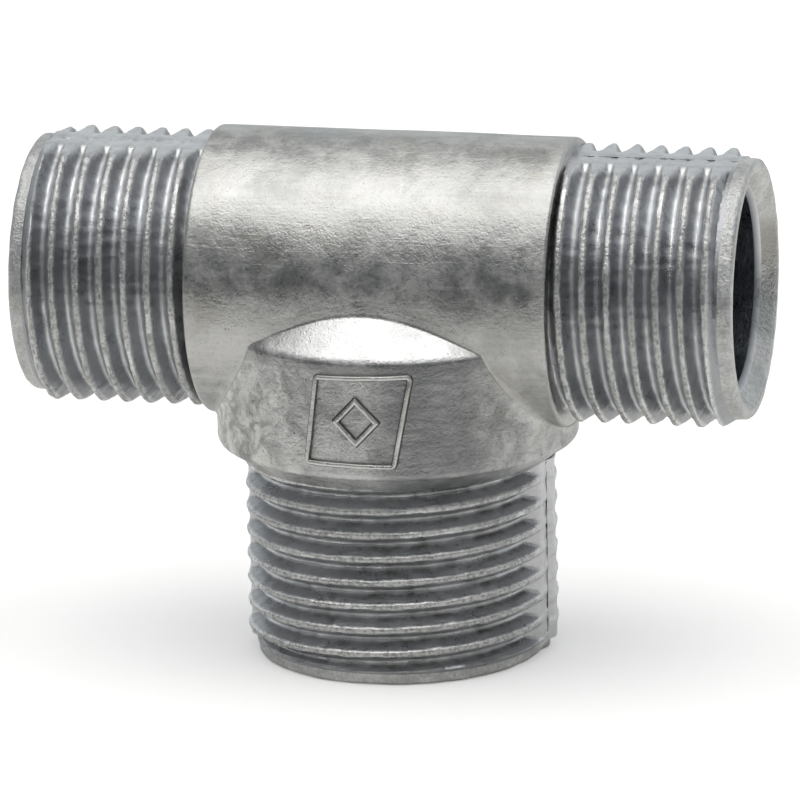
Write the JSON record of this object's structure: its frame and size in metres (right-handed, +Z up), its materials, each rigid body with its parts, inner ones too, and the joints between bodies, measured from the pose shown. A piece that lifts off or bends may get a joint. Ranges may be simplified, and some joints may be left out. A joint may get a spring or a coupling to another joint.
{
  "type": "pipe tee fitting",
  "caption": "Die-cast tee with outside-threaded run ends, a larger outside-threaded branch, a round boss and open bores.",
  "frame": {"origin": "the point where the run axis and the branch axis cross", "axes": "+X along the run, +Z up with the branch pointing down along -Z, and the raised mark facing -Y"},
  "size_m": [0.0544, 0.0273, 0.0394],
  "materials": {
    "barrel_casting": "as-cast zinc alloy, grainy satin",
    "boss_casting": "as-cast zinc alloy, stained and lightly scratched",
    "thread_casting": "as-cast zinc alloy, dull flanks with bright crests",
    "rim_casting": "trimmed zinc alloy, grainy",
    "mark_casting": "as-cast zinc alloy, rubbed bright along the top"
  },
  "bodies": {
    "root": {"run_barrel": "barrel_casting", "branch_boss": "boss_casting", "left_thread": "thread_casting", "right_thread": "thread_casting", "branch_thread": "thread_casting", "left_nose": "rim_casting", "right_nose": "rim_casting", "branch_nose": "rim_casting", "mark_frame": "mark_casting", "mark_symbol": "mark_casting"}
  },
  "joints": []
}
